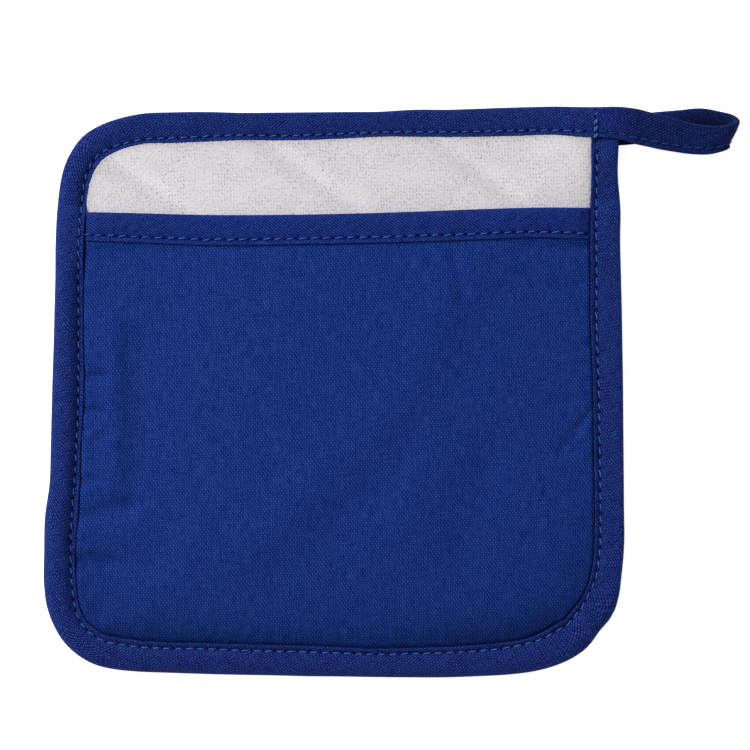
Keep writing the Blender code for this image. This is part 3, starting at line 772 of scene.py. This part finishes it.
def make_mouth_stitches(finishes):
    """The row along the lower edge of the pocket's tape."""
    counts, aside, rise = dashes(0, round(2 * MOUTH_END / MOUTH_PITCH), 0.15)
    x = MOUTH_END - counts * MOUTH_PITCH
    top, width, thickness, groove = mouth_sections(x)
    points = np.column_stack([x, top - width + MOUTH_SEAM - aside])
    height = mouth_height(points, thickness) + thickness / 2 - groove
    out = np.broadcast_to((0.0, 0.0, 1.0), (len(x), 3))
    sew("mouth_stitches", rise, np.column_stack([points, height]), out, finishes["thread"])


def make_tack(finishes):
    """Double stitches across the tape, where its tail leaves the edge."""
    paths = []
    for y, half, drop in TACK:
        height = LIFT + TERRY_HEIGHT - drop + 0.25 - 0.8 * np.abs(STITCH) ** 4
        for side in (-TACK_APART, TACK_APART):
            x = TACK_X + side + TACK_SLANT * STITCH
            paths.append(np.column_stack([x, y + side / 2 + half * STITCH, height]))
    taper = 1 - 0.4 * np.abs(STITCH) ** 3
    made = tubes("tack_stitches", np.array(paths), TACK_THREAD * taper, 8, finishes["tack_thread"])
    ride(made, "tape")


def make_quilting(finishes):
    """The quilting's thread, sunk in the terry on both faces."""
    paths = []
    share = np.linspace(-1, 1, 5)
    for step, across in ((STEP_A, STEP_B), (STEP_B, STEP_A)):
        direction = step / np.linalg.norm(step)
        for line in range(-8, 9):
            for number in range(-60, 61):
                middle = CROSSING + line * across + direction * number * QUILT_PITCH
                if abs(middle).max() < CORNER_X:
                    paths.append(middle + direction * share[:, None] * QUILT_DASH / 2)
    paths = np.array(paths)
    paths = paths[inside(paths[:, 2]) > 1.0]
    flat = paths.reshape(-1, 2)
    past = inside(flat)
    dip = np.tile(0.35 * share**2, len(paths))
    for name, height in (
        ("quilting", pad_front(flat, past) + QUILT_RISE - dip),
        ("quilting_back", pad_back(flat, past) - 0.1 + dip),
    ):
        places = np.column_stack([flat, height]).reshape(len(paths), len(share), 3)
        ride(tubes(name, places, QUILT_THREAD_RADIUS, 6, finishes["quilt_thread"]), "terry")


def pile_wander(place):
    """How far the terry's gaps stray from a net."""
    x, y = place.T
    aside = 0.3 * np.sin(y / 4.3 + x / 11) + 0.2 * np.sin(x / 5.1)
    return np.column_stack([aside, 0.3 * np.sin(x / 6.7 + y / 9)])


def pile_counts(points):
    """Columns and rows of the terry's gaps up to each point."""
    place = points
    for _ in range(3):
        place = points - pile_wander(place)
    return (place + place[:, 1:] * (PILE_LEAN, 0)) / PILE_PITCH


def pile_height(points):
    """Height of the terry's face, with its gaps."""
    random = np.random.default_rng(5)
    counts = pile_counts(points)
    corner = np.round(counts).astype(int)
    x, y = ((counts - corner) * PILE_PITCH).T
    reach = ((0.6 * x - 0.8 * y) / GAP_SIZE[0]) ** 2 + ((0.8 * x + 0.6 * y) / GAP_SIZE[1]) ** 2
    depth = random.uniform(0.5, 1, (97, 61))[corner[:, 0] % 97, corner[:, 1] % 61]
    past = inside(points)
    ragged = 0.015 + 0.1 * blend(1 - past)
    rise = PILE_HEIGHT - GAP_DEPTH * depth * np.exp(-reach) + random.normal(0, 1, len(points)) * ragged
    return pad_front(points, past) + rise


def pile_low(x):
    """The Y down to which the pile is made, some way in under the pocket's mouth."""
    return mouth(x)[0] - 0.5 - 6.5 * blend((84 - np.abs(x)) / 14)


def pile_border():
    """The outline of the terry's face."""
    edge = ring(-0.6, 1, 0.5)
    above = edge[:, 1] > pile_low(edge[:, 0]) + 0.3
    first = np.argmin(above)
    last = len(edge) - np.argmin(above[::-1])
    sides = np.vstack([edge[last:], edge[:first]])
    x = np.linspace(sides[-1, 0], sides[0, 0], 250)
    return np.vstack([sides, np.column_stack([x, pile_low(x)])])


def groove_painted_shade(points):
    """Painted shade and light beside the falling threads: below zero at their lower left, above it at their
    upper right.
    """
    away = thread_places(points)[:, 1] / 2.6
    return away * np.exp(0.5 - 0.5 * away**2)


def make_pile(finishes):
    """The terry's face where the pad shows, with a small gap between each four loops of yarn."""
    border = pile_border()
    columns, rows = np.meshgrid(*(np.arange(*ends, PILE_STEP) for ends in (PILE_COLUMNS, PILE_ROWS)))
    place = np.column_stack([columns.ravel(), rows.ravel()]) * PILE_PITCH
    place[:, 0] -= PILE_LEAN * place[:, 1]
    points = place + pile_wander(place)
    points = points[(points[:, 1] > pile_low(points[:, 0]) + 0.25) & (np.abs(points[:, 0]) < CORNER_X - 5)]
    top, faces = triangulate(border, points[inside(points) > -0.4])
    low, under = triangulate(border, points[inside(points) > 1][::83])
    flat = np.vstack([top, low])
    # painted shade and light beside the falling threads, and painted shade along the binding
    nap = np.column_stack([groove_painted_shade(flat), np.exp(-np.maximum(inside(flat), 0) / 1.2)])
    height = np.concatenate([pile_height(top), pile_height(low) - PILE_DEPTH])
    faces = closed(faces, under, len(top))
    made = add_mesh("terry_pile", np.column_stack([flat, height]), faces, finishes["pile"],
                    gaps=pile_counts(flat), nap=nap)
    ride(made, "terry")


class Nodes:
    """The nodes of one material."""

    def __init__(self, name, roughness):
        self.finish = bpy.data.materials.new(name)
        self.finish.use_nodes = True
        self.nodes = self.finish.node_tree.nodes
        self.surface("Roughness", roughness)
        self.surface("Specular IOR Level", 0.1)

    def surface(self, name, value):
        """Set or join one of the surface's inputs."""
        self.put(self.nodes["Principled BSDF"].inputs[name], value)

    def put(self, socket, value):
        """Set the input socket to a value, or join another node's output to it."""
        if isinstance(value, bpy.types.NodeSocket):
            self.finish.node_tree.links.new(value, socket)
        else:
            socket.default_value = value

    def add(self, kind, inputs, output=0, **settings):
        """An output of a new node with the inputs given by name or number."""
        node = self.nodes.new("ShaderNode" + kind)
        for key, value in settings.items():
            setattr(node, key, value)
        for key, value in inputs.items():
            self.put(node.inputs[key], value)
        return node.outputs[output]

    def math(self, operation, *values):
        """The result of a math node."""
        return self.add("Math", dict(enumerate(values)), operation=operation)

    def vector(self, operation, *values, output=0):
        """The result of a vector math node."""
        return self.add("VectorMath", dict(enumerate(values)), output, operation=operation)

    def scaled(self, value, factor):
        """A vector times a number."""
        return self.add("VectorMath", {0: value, "Scale": factor}, operation="SCALE")

    def ramp(self, value, *limits):
        """The value mapped evenly from the first two limits to the last two."""
        return self.add("MapRange", dict(enumerate((value, *limits))))

    def times(self, *values):
        """The product of two numbers."""
        return self.math("MULTIPLY", *values)

    def hill(self, *values):
        """1 where both values are 0, and falling round about."""
        squares = [self.times(value, value) for value in values]
        return self.math("EXPONENT", self.times(self.math("ADD", *squares), -1.0))

    def total(self, *terms):
        """The sum of values times their factors."""
        result = 0.0
        for value, factor in terms:
            result = self.math("MULTIPLY_ADD", value, factor, result)
        return result

    def uv(self, label):
        """The place given by one of the mesh's UV maps."""
        return self.add("UVMap", {}, uv_map=label)

    def noise(self, place, scale, detail=2.0, output=0):
        """Soft noise from 0 to 1, with scale features in a unit of length."""
        return self.add("TexNoise", {"Vector": place, "Scale": scale, "Detail": detail}, output)

    def cosine(self, turns):
        """The cosine of half turns."""
        return self.math("COSINE", self.times(turns, math.pi))

    def part(self, place, axis):
        """One of a place's coordinates."""
        return self.add("SeparateXYZ", {0: place}, axis)

    def join(self, x, y):
        """A place from two coordinates."""
        return self.add("CombineXYZ", {0: x, 1: y})

    def colour(self, base, tone, shares=FIBRE_AND_HIGHLIGHT, shade=1.0):
        """Colour the surface: base with tone of the paler colour of fibres and painted highlights, all times
        a painted shade.
        """
        fibre_and_highlight = self.scaled([max(base) * share for share in shares], tone)
        tinted = self.vector("MAXIMUM", self.vector("ADD", fibre_and_highlight, base), DARKEST)
        self.surface("Base Color", self.scaled(tinted, shade))

    def bump(self, height, depth):
        """Relief from a height of 0 to 1, depth millimetres deep."""
        self.surface("Normal", self.add("Bump", {"Height": height, "Distance": depth * MM}))


def weave(nodes, weft_turn, warp_turn, stray):
    """Counts of the warp's and the weft's yarns, and the place on the cloth, which strays."""
    place = nodes.uv("cloth")
    wobble = nodes.noise(place, 0.25, 1.0, output=1)
    place = nodes.vector("MULTIPLY_ADD", wobble, (stray, stray, 0), place)
    counts = []
    for turn, pitch, side in ((warp_turn, WARP, 1), (weft_turn, WEFT, -1)):
        angle = math.radians(turn)
        across = (side * math.sin(angle) / pitch, -side * math.cos(angle) / pitch, 0)
        counts.append(nodes.vector("DOT_PRODUCT", place, across, output=1))
    return *counts, place


def painted_seam_shade(nodes):
    """The painted shade that the pocket's mesh carries, as the share of light left."""
    return nodes.part(nodes.uv("seam"), 0)


def woven(name, base, turns, contrast, pit_shade=0.0, shade=None, coarse=1.0, fine=0.4, stray=0.6):
    """Plain woven blue cotton, with contrast of the warp, the weft and the two slants as painted highlights
    on the yarns.
    """
    nodes = Nodes(name, 0.85)
    s, t, place = weave(nodes, *turns, stray)
    yarns = [nodes.math("ABSOLUTE", nodes.cosine(value)) for value in (s, t)]
    slants = [nodes.cosine(nodes.math(kind, s, t)) for kind in ("ADD", "SUBTRACT")]
    terms = list(zip((*yarns, *slants), contrast))
    for first, scale, second, slower, detail, share in (
        (s, 0.9, t, 0.16, 1.0, 0.5 * coarse),
        (t, 0.9, s, 0.16, 1.0, 0.35 * coarse),
        (s, 0.3, t, 0.05, 2.0, 0.14),
    ):
        slub = nodes.join(nodes.times(first, scale), nodes.times(second, slower))
        terms.append((nodes.noise(slub, 1.0, detail), share))
    terms += [(nodes.noise(place, 0.9, 3.0), 0.12 * coarse), (nodes.noise(place, 1.25), fine)]
    mean = YARN_MEAN * (contrast[0] + contrast[1]) + 0.5 * (0.97 * coarse + fine + 0.14)
    tone = nodes.total(*terms, (-mean, 1.0))
    # painted shade in the stitches' holes
    if pit_shade:
        tone = nodes.math("MULTIPLY_ADD", hole_shade(nodes), pit_shade, tone)
    nodes.colour(base, tone, FIBRE_AND_HIGHLIGHT, shade(nodes) if shade else 1.0)
    nodes.bump(nodes.times(*yarns), 0.07)
    return nodes.finish


def hole_shade(nodes):
    """Painted shade: 0 over most of the tape, and below it in the pit at each stitch's hole."""
    stitch = nodes.uv("stitch")
    count, beside = (nodes.part(stitch, axis) for axis in (0, 1))
    away = nodes.math("SUBTRACT", count, nodes.math("ROUND", count))
    far = nodes.math("GREATER_THAN", nodes.math("ABSOLUTE", count), 0.2)
    tack = nodes.math("MULTIPLY_ADD", far, 9.0, nodes.math("PINGPONG", beside, TACK_PITCH / 2))
    beside = nodes.math("MINIMUM", nodes.math("ABSOLUTE", beside), tack)
    pit = nodes.hill(nodes.times(away, SEAM_PITCH / HOLE_LENGTH), nodes.times(beside, 1 / HOLE_WIDTH))
    return nodes.times(pit, -1.0)


def loop_shade(nodes):
    """Painted shade on the loop as the share of light left: less beyond the corner, least inside, with
    painted light along the inner fold.
    """
    place = nodes.uv("cloth")
    along, across = (nodes.part(place, axis) for axis in (0, 1))
    beyond = nodes.ramp(along, -2.0, -14.0, 1.0, LOOP_SHADE)
    turn = nodes.ramp(along, -78.0, -57.0, 1.25, INNER_SHADE)
    inner = nodes.times(turn, nodes.ramp(across, -0.6, -5.0, 1.2, 0.5))
    return nodes.times(beyond, nodes.ramp(across, 0.4, -0.4, 1.0, inner))


def gaps(nodes):
    """Painted shade in each gap of the terry's face: below zero, by an uneven amount."""
    place = nodes.uv("gaps")
    corner = nodes.vector("FLOOR", nodes.vector("ADD", place, (0.5, 0.5, 0.5)))
    astray = nodes.add("TexWhiteNoise", {"Vector": corner}, 1)
    away = nodes.vector("SUBTRACT", place, corner)
    away = nodes.vector("MULTIPLY_ADD", astray, (-0.3, -0.5, 0), away)
    away = nodes.vector("ADD", away, (0.15, 0.25, 0))
    reach = []
    for slant, size in (((0.6, -0.8), GAP_SIZE[0]), ((0.8, 0.6), GAP_SIZE[1])):
        across = (slant[0] * PILE_PITCH[0] / size, slant[1] * PILE_PITCH[1] / size, 0)
        reach.append(nodes.vector("DOT_PRODUCT", away, across, output=1))
    depth = nodes.math("MULTIPLY_ADD", nodes.add("TexWhiteNoise", {"Vector": corner}), -0.44, -0.1)
    patches = nodes.math("MULTIPLY_ADD", nodes.noise(place, 0.13, 1.0), 2.6, -0.3)
    return nodes.times(nodes.hill(*reach), nodes.times(depth, patches))


def terry(name):
    """White cotton with soft unevenness; the pile has painted shade in gaps and along the binding, painted
    shade and light by threads.
    """
    nodes = Nodes(name, 0.95)
    place = nodes.add("TexCoord", {}, 3)
    terms = [(nodes.noise(place, 1300.0), 0.22), (nodes.noise(place, 90.0), 0.08), (-0.15, 1.0)]
    if name == "pile":
        nap = nodes.uv("nap")
        # painted shade in the gaps and along the binding, painted shade and light beside the falling threads
        terms += [(gaps(nodes), 1.0), (nodes.part(nap, 0), 0.06), (nodes.part(nap, 1), -0.28)]
    nodes.colour(TERRY_WHITE, nodes.total(*terms), (1.0, 1.0, 1.0))
    nodes.bump(nodes.noise(place, 1100.0, 1.0), 0.15)
    return nodes.finish


def yarn_finish(name, base):
    """Twisted thread, a little glossier than the cloth."""
    nodes = Nodes(name, 0.6)
    place = nodes.add("TexCoord", {}, 3)
    strands = nodes.noise(place, 3500.0, 1.0)
    nodes.colour(base, nodes.total((strands, 0.8), (-0.4, 1.0)))
    nodes.bump(strands, 0.06)
    return nodes.finish


def make_finishes():
    """Every material of the pieces by name."""
    finishes = {
        "tape": woven("tape", TAPE_BLUE, BIAS, TAPE_CONTRAST, 1.0, coarse=1.3, fine=1.1, stray=1.3),
        "mouth_tape": woven("mouth_tape", MOUTH_BLUE, MOUTH_BIAS, MOUTH_CONTRAST, 1.0, fine=0.9),
        # the tape's cloth again, with painted shade on the loop
        "loop_tape": woven("loop_tape", LOOP_BLUE, BIAS, TAPE_CONTRAST, 0.35, loop_shade, 1.4, 1.6),
        "canvas": woven("canvas", CANVAS_BLUE, (4, 90), CANVAS_CONTRAST, shade=painted_seam_shade),
        "terry": terry("terry"),
        "pile": terry("pile"),
    }
    for name, base in YARNS.items():
        finishes[name] = yarn_finish(name, base)
    return finishes


def make_floor():
    """A plain pale floor that the light leaves almost white."""
    nodes = Nodes("floor", 0.9)
    nodes.surface("Base Color", (*FLOOR_WHITE, 1.0))
    nodes.surface("Emission Color", (1.0, 1.0, 1.0, 1.0))
    nodes.surface("Emission Strength", FLOOR_GLOW)
    half = 2000.0
    corners = [(-half, -half, -0.2), (half, -half, -0.2), (half, half, -0.2), (-half, half, -0.2)]
    add_mesh("floor", corners, [(0, 1, 2, 3)], nodes.finish)


def make_light():
    """A large soft light at the upper left and a pale sky all round."""
    scene = bpy.context.scene
    scene.world = bpy.data.worlds.new("sky")
    scene.world.use_nodes = True
    sky = scene.world.node_tree.nodes["Background"]
    sky.inputs["Color"].default_value = (1.0, 1.0, 1.0, 1.0)
    sky.inputs["Strength"].default_value = SKY
    light = bpy.data.lights.new("key", "AREA")
    light.size = KEY_SIZE
    light.energy = KEY_WATTS
    key = add_object("key", light)
    key.location = KEY_PLACE
    key.rotation_euler = (-Vector(KEY_PLACE)).to_track_quat("-Z", "Y").to_euler()


def make_camera():
    """The camera straight above, with +Y up in the picture."""
    scene = bpy.context.scene
    lens = bpy.data.cameras.new("camera")
    lens.lens = LENS
    lens.sensor_width = SENSOR
    camera = add_object("camera", lens)
    camera.location = np.array((VIEW_X, VIEW_Y, VIEW_HEIGHT + VIEW_WIDTH * LENS / SENSOR)) * MM
    scene.camera = camera
    scene.view_settings.view_transform = "Standard"


def make_pieces():
    """Every piece of the pot holder."""
    finishes = make_finishes()
    for make in (make_pad, make_pile, make_quilting, make_pocket, make_pocket_tape, make_binding, make_loop,
                 make_binding_stitches, make_loop_stitches, make_mouth_stitches, make_tack):
        make(finishes)


make_pieces()
make_floor()
make_light()
make_camera()
